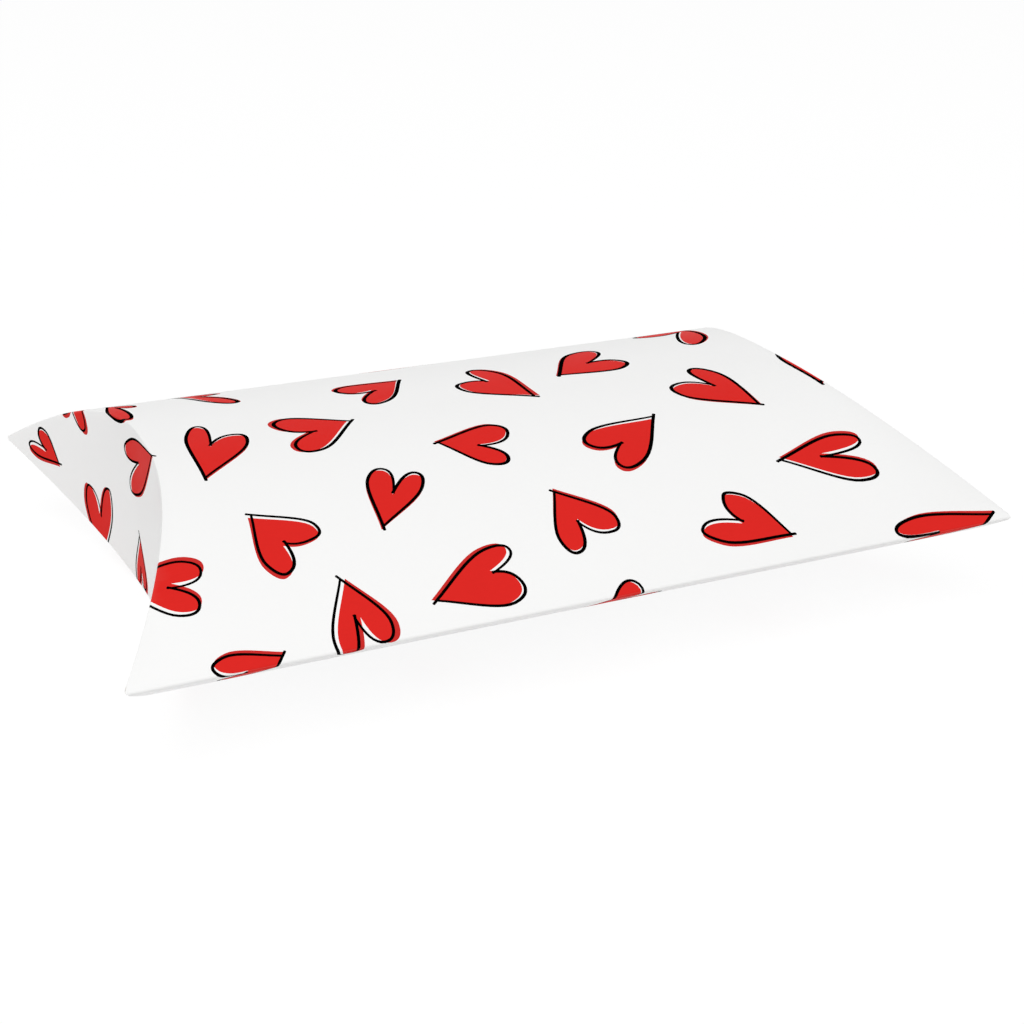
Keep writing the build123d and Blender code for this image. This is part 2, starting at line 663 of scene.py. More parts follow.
# Each row gives a heart's point on the blank and its direction, the left lobe's length and half
# width, the right lobe's, the notch, how plump the lobes are, the direction in which the pen
# line has slipped, and the width of the pen
PLACED_HEARTS = (
    # On the top panel
    (-57.9, -19.1, -109.0, 21.5, 4.7, 17.2, 6.4, 12.4, 0.33, 75.0, 0.68),
    (-28.3, -4.8, 16.0, 14.5, 7.0, 12.5, 8.5, 8.0, 0.35, -25.0, 0.75),
    (-11.6, 14.8, 36.0, 15.5, 5.8, 12.8, 7.5, 8.5, 0.38, -70.0, 0.84),
    (9.3, -5.9, -65.0, 15.3, 7.0, 20.6, 6.0, 12.6, 0.34, 170.0, 0.84),
    (16.9, 3.0, -151.0, 19.3, 7.6, 15.3, 7.4, 10.2, 0.33, 20.0, 0.9),
    (48.0, -22.6, -63.0, 16.2, 8.4, 18.8, 6.0, 10.6, 0.34, 110.0, 0.84),
    (-16.8, -17.8, 156.0, 12.6, 7.8, 12.8, 5.7, 7.6, 0.37, -40.0, 0.73),
    (25.2, -21.3, 33.0, 18.2, 5.8, 16.8, 6.5, 12.2, 0.37, 60.0, 0.75),
    (42.4, -37.8, 174.5, 18.2, 5.7, 18.0, 6.8, 8.7, 0.33, -95.0, 0.75),
    (-34.0, -38.8, -121.0, 15.2, 5.0, 15.6, 4.6, 9.1, 0.4, 60.0, 0.64),
    (-54.1, -30.9, 115.0, 10.7, 6.7, 14.0, 5.6, 8.5, 0.28, 45.0, 0.59),
    (-2.1, -36.0, 99.0, 12.0, 7.0, 13.8, 5.3, 7.9, 0.32, -95.0, 0.64),
    (35.8, -55.6, -30.0, 16.0, 5.9, 13.0, 6.3, 9.2, 0.22, 90.0, 0.66),
    (-31.0, -54.4, -163.5, 17.0, 4.7, 14.8, 6.6, 11.8, 0.42, -20.0, 0.59),
    (-43.1, -47.4, 91.0, 13.0, 5.5, 15.0, 4.6, 7.6, 0.38, 175.0, 0.55),
    (-77.5, -40.0, 164.0, 13.3, 5.7, 13.2, 5.5, 8.5, 0.4, -110.0, 0.52),
    (77.3, -58.1, 8.0, 17.5, 6.0, 21.0, 4.4, 13.0, 0.4, -145.0, 0.68),
    (-55.9, -58.4, 16.0, 11.0, 5.5, 10.6, 4.1, 6.5, 0.3, -140.0, 0.52),
    (-4.6, -74.0, 230.0, 17.1, 6.2, 16.5, 5.5, 9.0, 0.36, 40.0, 0.57),
    (63.9, -18.5, 255.0, 17.0, 4.6, 15.0, 6.2, 10.0, 0.35, 75.0, 0.88),
    (-50.6, 33.3, 120.5, 9.0, 4.2, 20.4, 4.8, 7.0, 0.38, 200.0, 0.86),
    (63.0, 33.2, 52.0, 24.0, 7.4, 14.0, 9.0, 6.0, 0.3, 190.0, 0.9),
    (-64.2, 31.2, 100.0, 8.5, 3.2, 19.2, 4.3, 5.0, 0.38, 90.0, 0.7),
    # On the left outer flap
    (-83.1, 43.4, -115.0, 9.4, 3.2, 7.9, 4.0, 4.8, 0.3, 20.0, 0.52),
    (-99.5, 31.5, 172.0, 15.3, 5.9, 18.2, 5.1, 10.6, 0.25, -80.0, 0.52),
    (-64.0, -8.3, -65.0, 24.2, 5.6, 22.6, 4.7, 14.4, 0.3, 95.0, 0.52),
    (-86.3, 9.2, -8.0, 11.0, 3.5, 12.0, 3.1, 7.5, 0.38, 60.0, 0.52),
    (-62.3, 39.4, 20.0, 12.8, 4.6, 9.0, 4.5, 6.5, 0.36, 60.0, 0.52),
)


@dataclass(frozen=True)
class HeartPrint:
    """The print on the whole blank: placed hearts, and more scattered over the rest of it.

    A strip along the far side of the crown and one along the near fold take no scattered heart,
    since they have none in the photograph beyond the placed ones. A pair of numbers is the
    range in which a size is drawn at random.
    """

    seed: int = 11
    spacing: float = 23.5
    reach: float = 102.0
    tries: int = 4000
    lengths: Point = (13.5, 18.5)
    widths: Point = (4.8, 6.6)
    leans: Point = (0.84, 1.0)
    notches: Point = (0.5, 0.62)
    plumpness: Point = (0.3, 0.4)
    pen_widths: Point = (0.56, 0.66)
    pen_slips: Point = (0.7, 0.9)
    pen_turn: float = 1.5
    crown_strip: Point = (10.0, 27.0)
    crown_strip_half_length: float = 62.0
    fold_strip: Point = (-64.0, -56.0)

    def hearts(self, sizes: BoxSizes) -> list[Heart]:
        """Lay the hearts out.

        Args:
            sizes: the sizes of the box.

        Returns:
            Every heart on the blank, for both panels and all flaps.
        """
        draw = random.Random(self.seed)
        found = [self.heart(draw, *row) for row in PLACED_HEARTS]
        # From the crown of the top panel to the far end of the bottom one, v runs over three
        # half panels
        low = -3 * sizes.fold_line
        for _ in range(self.tries):
            length = draw.uniform(*self.lengths)
            lean = draw.uniform(*self.leans)
            width = draw.uniform(*self.widths)
            heart = self.heart(
                draw,
                draw.uniform(-self.reach, self.reach),
                draw.uniform(low, sizes.fold_line),
                draw.uniform(0.0, 360.0),
                length,
                width * lean,
                length * lean,
                width,
                length * draw.uniform(*self.notches),
                draw.uniform(*self.plumpness),
            )
            if any(math.dist(heart.middle, other.middle) < self.spacing for other in found):
                continue
            if not any(self.is_bare(place) for place in heart.shape()):
                found.append(heart)
        return found

    def is_bare(self, place: Point) -> bool:
        """Return whether a place lies in a strip without scattered hearts.

        Args:
            place: the place on the blank.

        Returns:
            True in one of the two strips.
        """
        u, v = place
        low, high = self.crown_strip
        in_crown_strip = low < v < high and abs(u) < self.crown_strip_half_length
        low, high = self.fold_strip
        return in_crown_strip or low < v < high

    def heart(self, draw: random.Random, u: float, v: float, turn: float, *form: float) -> Heart:
        """Build a heart whose pen line lies a little askew of its red shape.

        Args:
            draw: the source of the pen line's place.
            u: place of the point along the blank.
            v: place of the point across the blank.
            turn: direction in which it points.
            form: both lobes' lengths and half widths, the notch, how plump it is, and for a
                placed heart the direction on the blank in which the pen line has slipped, and
                its width.

        Returns:
            The heart.
        """
        left, left_width, right, right_width, notch, plump, *pen = form
        away = draw.uniform(0.0, 2.0 * math.pi)
        pen_width = draw.uniform(*self.pen_widths)
        if pen:
            away = math.radians(pen[0] - turn) - math.pi
            pen_width = pen[1]
        slip = draw.uniform(*self.pen_slips)
        return Heart(
            u=u,
            v=v,
            turn=turn,
            left=Lobe(left, left_width),
            right=Lobe(right, right_width),
            notch=notch,
            plump=plump,
            pen_slip=(slip * math.cos(away), slip * math.sin(away)),
            pen_turn=draw.uniform(-self.pen_turn, self.pen_turn),
            pen_width=pen_width,
        )


# The flat board


@dataclass
class FlatBoard:
    """One region of the blank, drawn flat in millimetres.

    The outline runs counter-clockwise. Rulings are lines that the faces have to follow, so that
    they lie on the folded form. The triangles are kept only inside the outlines, and points
    that lie nearer than the merge distance become one.
    """

    outline: list[Point]
    rulings: list[list[Point]]
    back_rulings: list[list[Point]]
    sizes: BoxSizes
    face: Finish
    keep_inside: int = 1
    merge_distance: float = 1e-5

    def triangles(
        self, areas: list[list[Point]], lines: list[list[Point]]
    ) -> tuple[list[Point], list[Triangle], list[set[int]]]:
        """Cut overlapping areas and lines into triangles.

        Args:
            areas: closed outlines, the region itself first.
            lines: open lines.

        Returns:
            The points, the triangles inside the region, and the areas that each lies in.
        """
        points, edges, faces = [], [], []
        for area in areas:
            start = len(points)
            points.extend(Vector(p) for p in area)
            faces.append(list(range(start, len(points))))
        for line in lines:
            start = len(points)
            points.extend(Vector(p) for p in line)
            edges.extend((i, i + 1) for i in range(start, len(points) - 1))
        made, _, cut, _, _, owners = delaunay_2d_cdt(
            points, edges, faces, self.keep_inside, self.merge_distance
        )
        kept = [(tuple(f), set(o)) for f, o in zip(cut, owners) if 0 in o]
        used = sorted({i for f, _ in kept for i in f})
        renamed = {old: new for new, old in enumerate(used)}
        corners = [tuple(renamed[i] for i in f) for f, _ in kept]
        return [tuple(made[i]) for i in used], corners, [o for _, o in kept]

    @staticmethod
    def border(faces: list[Triangle]) -> list[Edge]:
        """Find the border of a mesh.

        Args:
            faces: its triangles, all turned the same way.

        Returns:
            The edges that only one triangle uses, in that triangle's direction.
        """
        edges = [edge for face in faces for edge in zip(face, face[1:] + face[:1])]
        known = set(edges)
        return [(a, b) for a, b in edges if (b, a) not in known]

    def build(self, name: str, hearts: list[Heart]) -> bpy.types.Mesh:
        """Build the flat sheet: printed side at height 0, back one board below it.

        Args:
            name: name of the mesh.
            hearts: the hearts, in this region's own places.

        Returns:
            A closed mesh whose faces carry their finish.
        """
        areas, kinds = [self.outline], [None]
        for heart in hearts:
            drawn = (heart.shape(), heart.pen_loop(), *heart.strokes())
            areas += [self.counter_clockwise(area) for area in drawn]
            kinds += [Finish.RIM, Finish.RED, Finish.LINE, Finish.LINE]
        front, front_faces, owners = self.triangles(areas, self.rulings)
        rim = self.border(front_faces)
        loop = self.walk(rim)
        back, back_faces, _ = self.triangles([[front[i] for i in loop]], self.back_rulings)
        lift = len(front)
        tree = KDTree(len(back))
        for i, place in enumerate(back):
            tree.insert((*place, 0.0), i)
        tree.balance()
        behind = {i: tree.find((*front[i], 0.0))[1] + lift for i in loop}
        places = [(u, v, 0.0) for u, v in front]
        places += [(u, v, -self.sizes.board) for u, v in back]
        faces = list(front_faces)
        faces += [(c + lift, b + lift, a + lift) for a, b, c in back_faces]
        faces += [(b, a, behind[a], behind[b]) for a, b in rim]
        finishes = [self.finish_of(owner, kinds).value for owner in owners]
        finishes += [Finish.PLAIN.value] * len(back_faces)
        finishes += [Finish.EDGE.value] * len(rim)
        mesh = bpy.data.meshes.new(name)
        mesh.from_pydata(places, [], faces)
        mesh.attributes.new(FINISH, "INT", "FACE").data.foreach_set("value", finishes)
        mesh.update()
        return mesh

    def finish_of(self, owner: set[int], kinds: list[Finish | None]) -> Finish:
        """Return the finish of a triangle.

        Args:
            owner: the areas that it lies in.
            kinds: what each area is: a red shape, the inside of a pen line, or a stroke.

        Returns:
            The stroke's finish where there is one, and red only inside a red shape, with
            its rim outside the pen line.
        """
        worn = {kinds[i] for i in owner}
        if Finish.LINE in worn:
            return Finish.LINE
        if Finish.RIM not in worn:
            return self.face
        return Finish.RED if Finish.RED in worn else Finish.RIM

    @staticmethod
    def counter_clockwise(area: list[Point]) -> list[Point]:
        """Return the outline, turned round if it runs clockwise."""
        twice = sum(a[0] * b[1] - b[0] * a[1] for a, b in zip(area, area[1:] + area[:1]))
        return area if twice > 0 else area[::-1]

    @staticmethod
    def walk(rim: list[Edge]) -> list[int]:
        """Put a closed border in order.

        Args:
            rim: its edges, in any order, each in the border's direction.

        Returns:
            Its points, one after the other.
        """
        after = dict(rim)
        loop = [rim[0][0]]
        while after[loop[-1]] != loop[0]:
            loop.append(after[loop[-1]])
        return loop


class FoldTree:
    """The Geometry Nodes tree that folds a flat piece of board into the box.

    Its inputs are the sizes of the fold rule, some of them once for each side of the crown,
    those of the piece itself, and a material for each finish. The score reach is how far
    beside a crease the colour is worn and, on the bare boards, darkened with painted shade, in
    millimetres, and the fold narrowing is how many times narrower that band is along a long fold.
    """

    score_reach: float = 0.6
    fold_narrowing: float = 2.4
    rule_inputs: dict[str, str] = {
        "crown": "Crown",
        "radius": "Bow Radius",
        "drop": "Bow Drop",
        "fold_radius": "Fold Radius",
        "lap_radius": "Lap Radius",
        "half_length": "Half Length",
    }
    side_inputs: dict[str, str] = {"bow_turn": "Bow Turn", "fold_turn": "Fold Turn"}
    piece_inputs: tuple[str, ...] = ("Flap Seat", "Mid Height", "Level", "Is Flap")

    def __init__(self, crease_radius: float) -> None:
        """Build the tree.

        Args:
            crease_radius: radius of the end creases, in millimetres.
        """
        self.crease_radius = crease_radius
        self.tree = bpy.data.node_groups.new("Fold the board", "GeometryNodeTree")
        self.tree.is_modifier = True
        sides = [f"{side} {name}" for side in ("Near", "Far") for name in self.side_inputs.values()]
        self.sizes = [*self.rule_inputs.values(), *sides, *self.piece_inputs]
        for in_out in ("OUTPUT", "INPUT"):
            self.add_socket("Geometry", in_out, "Geometry")
        for name in self.sizes:
            self.add_socket(name, "INPUT", "Float")
        for finish in Finish:
            self.add_socket(finish.name, "INPUT", "Material")
        self.entry = add_node(self.tree, "NodeGroupInput")
        self.build()

    def add_socket(self, name: str, in_out: str, kind: str) -> None:
        """Give the tree a named input or output of a kind."""
        self.tree.interface.new_socket(name, in_out=in_out, socket_type=f"NodeSocket{kind}")

    def values(self, near: FoldRule, far: FoldRule) -> dict[str, float]:
        """Return what goes into the inputs for a fold rule in plain numbers.

        Args:
            near: the rule on the near side of the crown.
            far: the rule on the far side.

        Returns:
            Values by the names of the inputs.
        """
        found = {name: getattr(near, key) for key, name in self.rule_inputs.items()}
        for key, name in self.side_inputs.items():
            found[f"Near {name}"] = getattr(near, key)
            found[f"Far {name}"] = getattr(far, key)
        return found

    def build(self) -> None:
        """Add the nodes: store the flat places, fold, realize and dress."""
        position = add_node(self.tree, "GeometryNodeInputPosition").outputs[0]
        places, score = self.folded(position)
        geometry = self.store(self.entry.outputs["Geometry"], FLAT, "FLOAT_VECTOR", position)
        geometry = self.store(geometry, SCORE, "FLOAT", score.socket)
        target = add_node(self.tree, "ShaderNodeCombineXYZ", dict(enumerate(places)))
        given = {"Geometry": geometry, "Position": target.outputs[0]}
        moved = add_node(self.tree, "GeometryNodeSetPosition", given)
        real = add_node(self.tree, "GeometryNodeRealizeInstances", {0: moved.outputs[0]})
        geometry = real.outputs[0]
        for finish in Finish:
            geometry = self.dress(geometry, finish)
        add_node(self.tree, "NodeGroupOutput", {0: geometry})

    def folded(self, position: bpy.types.NodeSocket) -> tuple[list[Field], Field]:
        """Fold the flat places.

        Args:
            position: the place of each point of the flat board.

        Returns:
            The folded places in metres, and the mask of the scored lines.
        """
        size = {name: Field(self.tree, self.entry.outputs[name]) for name in self.sizes}
        parts = add_node(self.tree, "ShaderNodeSeparateXYZ", {0: position})
        u, v, layer = (Field(self.tree, out) for out in parts.outputs)
        is_near = v.join("LESS_THAN", 0.0)
        by_side = {}
        for key, name in self.side_inputs.items():
            far = size[f"Far {name}"]
            by_side[key] = far + is_near * (size[f"Near {name}"] - far)
        shared = {key: size[name] for key, name in self.rule_inputs.items()}
        rule = FoldRule(**shared, **by_side, crease_radius=self.crease_radius)
        run = v.join("ABSOLUTE")
        point = (u.join("ABSOLUTE"), run, layer * -1.0, size["Flap Seat"])
        as_panel_and_flap = zip(rule.panel(*point), rule.flap(*point))
        along, across, height, off_crease = (
            panel + size["Is Flap"] * (flap - panel) for panel, flap in as_panel_and_flap
        )
        along = along * u.join("SIGN")
        across = across * v.join("SIGN")
        height = size["Mid Height"] + size["Level"] * height
        return [part * MM for part in (along, across, height)], self.score(rule, run, off_crease)

    def score(self, rule: FoldRule, run: Field, off_crease: Field) -> Field:
        """Return a mask of the scored lines: 1 on a crease or long fold and 0 away from it.

        Args:
            rule: the fold rule.
            run: length of board from the crown.
            off_crease: distance from the end crease.

        Returns:
            The mask.
        """
        middle = rule.bow_end + rule.fold_length * 0.5
        off_fold = (run - middle).join("ABSOLUTE")
        nearest = least(off_crease.join("ABSOLUTE"), off_fold * self.fold_narrowing)
        return clamp(1.0 - nearest / self.score_reach, 0.0, 1.0)

    def store(
        self,
        geometry: bpy.types.NodeSocket,
        name: str,
        kind: str,
        value: bpy.types.NodeSocket,
    ) -> bpy.types.NodeSocket:
        """Store a value on each point of the geometry.

        Args:
            geometry: the geometry.
            name: name of the attribute.
            kind: its data type.
            value: what is stored.

        Returns:
            The geometry with the attribute.
        """
        given = {"Geometry": geometry, "Name": name, "Value": value}
        kept = add_node(
            self.tree, "GeometryNodeStoreNamedAttribute", given, data_type=kind, domain="POINT"
        )
        return kept.outputs[0]

    def dress(self, geometry: bpy.types.NodeSocket, finish: Finish) -> bpy.types.NodeSocket:
        """Give the faces of one finish their material.

        Args:
            geometry: the geometry.
            finish: the finish.

        Returns:
            The geometry with the material.
        """
        worn = add_node(
            self.tree, "GeometryNodeInputNamedAttribute", {"Name": FINISH}, data_type="INT"
        )
        same = add_node(self.tree, "FunctionNodeCompare", data_type="INT", operation="EQUAL")
        whole = [socket for socket in same.inputs if socket.type == "INT"]
        self.tree.links.new(worn.outputs["Attribute"], whole[0])
        whole[1].default_value = finish.value
        given = {
            "Geometry": geometry,
            "Selection": same.outputs[0],
            "Material": self.entry.outputs[finish.name],
        }
        return add_node(self.tree, "GeometryNodeSetMaterial", given).outputs[0]


# Finishes


class ShaderGroup:
    """A shader node group with named inputs and outputs."""

    def __init__(self, name: str, inputs: dict[str, float], outputs: tuple[str, ...]) -> None:
        """Start the group.

        Args:
            name: the group's name.
            inputs: each input's name and usual value.
            outputs: the names of the outputs, all single values.
        """
        self.tree = bpy.data.node_groups.new(name, "ShaderNodeTree")
        face = self.tree.interface
        for key, value in inputs.items():
            socket = face.new_socket(key, in_out="INPUT", socket_type="NodeSocketFloat")
            socket.default_value = value
        for key in outputs:
            face.new_socket(key, in_out="OUTPUT", socket_type="NodeSocketFloat")
        self.entry = add_node(self.tree, "NodeGroupInput")
        self.exit = add_node(self.tree, "NodeGroupOutput")

    def given(self, name: str) -> Field:
        """Return one of the group's inputs."""
        return Field(self.tree, self.entry.outputs[name])

    def attribute(self, name: str, output: str) -> bpy.types.NodeSocket:
        """Return an output of a node that reads a mesh attribute."""
        return add_node(self.tree, "ShaderNodeAttribute", attribute_name=name).outputs[output]

    def noise(self, scale: Number, detail: float, stretch: Point = (1.0, 1.0)) -> Field:
        """Return a cloudy pattern that lies on the flat blank.

        Args:
            scale: patches for each millimetre of board.
            detail: finer layers of the pattern.
            stretch: scale along the blank and across it.

        Returns:
            Values around 0.5.
        """
        given = {"Vector": self.attribute(FLAT, "Vector"), "Scale": (*stretch, 1.0)}
        mapped = add_node(self.tree, "ShaderNodeMapping", given)
        given = {"Vector": mapped.outputs[0], "Scale": scale, "Detail": detail}
        return Field(self.tree, add_node(self.tree, "ShaderNodeTexNoise", given).outputs[0])

    def give(self, name: str, value: Field) -> None:
        """Send a value to one of the group's outputs."""
        self.tree.links.new(value.socket, self.exit.inputs[name])


class BoardGroups:
    """The shader node groups that the finishes share, with the details of their patterns."""

    cloud_detail: float = 3.0
    fibre_detail: float = 6.0
    fibre_stretch: Point = (0.45, 1.0)
    crazing_scale: float = 3.0
    crazing_detail: float = 4.0

    def __init__(self) -> None:
        """Build the groups."""
        self.grain = self.build_grain()
        self.score = self.build_score()

    def build_grain(self) -> bpy.types.NodeTree:
        """Build the grain of paper fibres, which lie mostly along the box.

        Returns:
            A group that gives the tone, around 1, and the fibres' relief, around 0.5.
        """
        inputs = {"Cloud Scale": 0.12, "Fibre Scale": 1.6, "Cloud": 0.01, "Fibre": 0.01}
        group = ShaderGroup("Paper grain", inputs, ("Tone", "Relief"))
        cloud = group.noise(group.given("Cloud Scale"), self.cloud_detail)
        fibre = group.noise(group.given("Fibre Scale"), self.fibre_detail, self.fibre_stretch)
        tone = (cloud - 0.5) * group.given("Cloud") + (fibre - 0.5) * group.given("Fibre")
        group.give("Tone", tone + 1.0)
        group.give("Relief", fibre)
        return group.tree

    def build_score(self) -> bpy.types.NodeTree:
        """Build the mask of wear and painted shade along the scored lines: the coat of the board is
        crazed there, and the folds' shade is painted in.

        Returns:
            A group that gives the wear and painted shade, from 0 to 1.
        """
        # The mask paints the shade of the creases and folds as well as their crazed wear
        group = ShaderGroup("Score wear", {"Reach": 0.6, "Crazing": 0.5}, ("Wear",))
        mask = Field(group.tree, group.attribute(SCORE, "Fac"))
        crazed = group.noise(self.crazing_scale, self.crazing_detail)
        worn = clamp((mask - 1.0 + group.given("Reach")) / group.given("Reach"), 0.0, 1.0)
        loose = 1.0 - group.given("Crazing") + group.given("Crazing") * crazed
        group.give("Wear", worn * loose)
        return group.tree


@dataclass(frozen=True)
class BoardFinish:
    """A finish of the board: bare, printed, plain or cut.

    Cloud and fibre are how much the tone varies, and relief is the height of the fibres in
    metres. The colour and the worn and shaded colour are linear. Along the scored lines the
    colour moves towards the latter: lighter on the inks, where it is worn ink, and darker on the
    boards, where it is partly crazed coat and partly painted shade of the creases and folds.
    """

    name: str
    colour: Colour
    worn_and_shaded_colour: Colour
    roughness: float
    cloud: float
    fibre: float
    relief: float
    wear: float
    specular: float
    rough_spread: float = 0.1
    worn_roughness: float = 0.12
    fibre_scale: float = 1.6

    def build(self, groups: BoardGroups) -> bpy.types.Material:
        """Build the material.

        Args:
            groups: the shared shader groups.

        Returns:
            A material that reads the piece's own flat places.
        """
        material = bpy.data.materials.new(self.name)
        material.use_nodes = True
        tree = material.node_tree
        shader = tree.nodes["Principled BSDF"]
        given = {"Cloud": self.cloud, "Fibre": self.fibre, "Fibre Scale": self.fibre_scale}
        grain = add_node(tree, "ShaderNodeGroup", given, node_tree=groups.grain)
        score = add_node(tree, "ShaderNodeGroup", node_tree=groups.score)
        fibre = Field(tree, grain.outputs["Relief"])
        # Wear and painted shade along the scored lines: the boards darken there in place of the
        # folds' shade, and the inks lighten as worn ink
        wear = Field(tree, score.outputs["Wear"]) * self.wear

        mix = add_node(tree, "ShaderNodeMix", {0: wear}, data_type="RGBA")
        fresh, worn = (socket for socket in mix.inputs if socket.type == "RGBA")
        fresh.default_value = (*self.colour, 1.0)
        worn.default_value = (*self.worn_and_shaded_colour, 1.0)
        mixed = next(socket for socket in mix.outputs if socket.type == "RGBA")
        given = {0: mixed, "Scale": grain.outputs["Tone"]}
        toned = add_node(tree, "ShaderNodeVectorMath", given, operation="SCALE")
        tree.links.new(toned.outputs[0], shader.inputs["Base Color"])

        rough = (fibre - 0.5) * self.rough_spread + self.roughness + wear * self.worn_roughness
        tree.links.new(rough.socket, shader.inputs["Roughness"])
        shader.inputs["Specular IOR Level"].default_value = self.specular
        given = {"Strength": 1.0, "Distance": self.relief, "Height": fibre}
        bump = add_node(tree, "ShaderNodeBump", given)
        tree.links.new(bump.outputs[0], shader.inputs["Normal"])
        return material


BOARD_FINISHES = {
    Finish.PRINTED: BoardFinish(
        name="coated_white_board",
        colour=(0.93, 0.93, 0.925),
        # Darker along the scored lines: partly crazed coat, partly painted shade of the folds
        worn_and_shaded_colour=(0.84, 0.84, 0.83),
        roughness=0.46,
        cloud=0.012,
        fibre=0.012,
        relief=0.000006,
        wear=0.35,
        specular=0.12,
    ),
    Finish.RED: BoardFinish(
        name="red_ink",
        colour=(0.72, 0.0215, 0.0175),
        worn_and_shaded_colour=(0.76, 0.12, 0.11),
        roughness=0.5,
        cloud=0.05,
        fibre=0.06,
        relief=0.000005,
        wear=0.45,
        specular=0.02,
    ),
    Finish.RIM: BoardFinish(
        name="thin_red_ink",
        colour=(0.59, 0.026, 0.023),
        worn_and_shaded_colour=(0.7, 0.12, 0.11),
        roughness=0.52,
        cloud=0.06,
        fibre=0.1,
        relief=0.000005,
        wear=0.45,
        specular=0.02,
    ),
    Finish.LINE: BoardFinish(
        name="black_ink",
        colour=(0.0006, 0.0005, 0.0005),
        worn_and_shaded_colour=(0.05, 0.045, 0.045),
        roughness=0.52,
        cloud=0.2,
        fibre=0.3,
        relief=0.000005,
        wear=0.4,
        specular=0.0,
    ),
    Finish.PLAIN: BoardFinish(
        name="uncoated_board",
        colour=(0.88, 0.87, 0.84),
        # Darker along the scored lines: partly crazed coat, partly painted shade of the folds
        worn_and_shaded_colour=(0.84, 0.83, 0.8),
        roughness=0.78,
        cloud=0.03,
        fibre=0.06,
        relief=0.000014,
        wear=0.3,
        specular=0.35,
        rough_spread=0.12,
    ),
    Finish.EDGE: BoardFinish(
        name="cut_board_edge",
        colour=(0.8, 0.785, 0.75),
        # Darker along the scored lines: partly crazed edge, partly painted shade of the folds
        worn_and_shaded_colour=(0.76, 0.745, 0.7),
        roughness=0.86,
        cloud=0.03,
        fibre=0.14,
        relief=0.00002,
        wear=0.2,
        specular=0.3,
        fibre_scale=5.0,
    ),
}


@dataclass(frozen=True)
class AdhesiveFinish:
    """Dried white glue, slightly yellow, with small bubbles in it.

    The colour is clear in the middle of a bubble and full from its edge on.
    """

    name: str = "dried_adhesive"
    colour: Colour = (0.86, 0.82, 0.7)
    clear_colour: Colour = (0.7, 0.64, 0.5)
    bubble_scale: float = 900.0
    bubble_edge: float = 0.4
    roughness: float = 0.32
    rough_spread: float = 0.2
    relief: float = 0.00002

    def build(self) -> bpy.types.Material:
        """Build the material.

        Returns:
            A material that reads Object coordinates.
        """
        material = bpy.data.materials.new(self.name)
        material.use_nodes = True
        tree = material.node_tree
        shader = tree.nodes["Principled BSDF"]
        place = add_node(tree, "ShaderNodeTexCoord").outputs["Object"]
        given = {"Vector": place, "Scale": self.bubble_scale}
        distance = add_node(tree, "ShaderNodeTexVoronoi", given).outputs["Distance"]
        ramp = add_node(tree, "ShaderNodeValToRGB", {0: distance})
        clear, full = ramp.color_ramp.elements
        clear.color = (*self.clear_colour, 1.0)
        full.color = (*self.colour, 1.0)
        full.position = self.bubble_edge
        tree.links.new(ramp.outputs["Color"], shader.inputs["Base Color"])
        rough = Field(tree, distance) * self.rough_spread + self.roughness
        tree.links.new(rough.socket, shader.inputs["Roughness"])
        bump = add_node(tree, "ShaderNodeBump", {"Distance": self.relief, "Height": distance})
        tree.links.new(bump.outputs[0], shader.inputs["Normal"])
        return material


# The pieces of the box


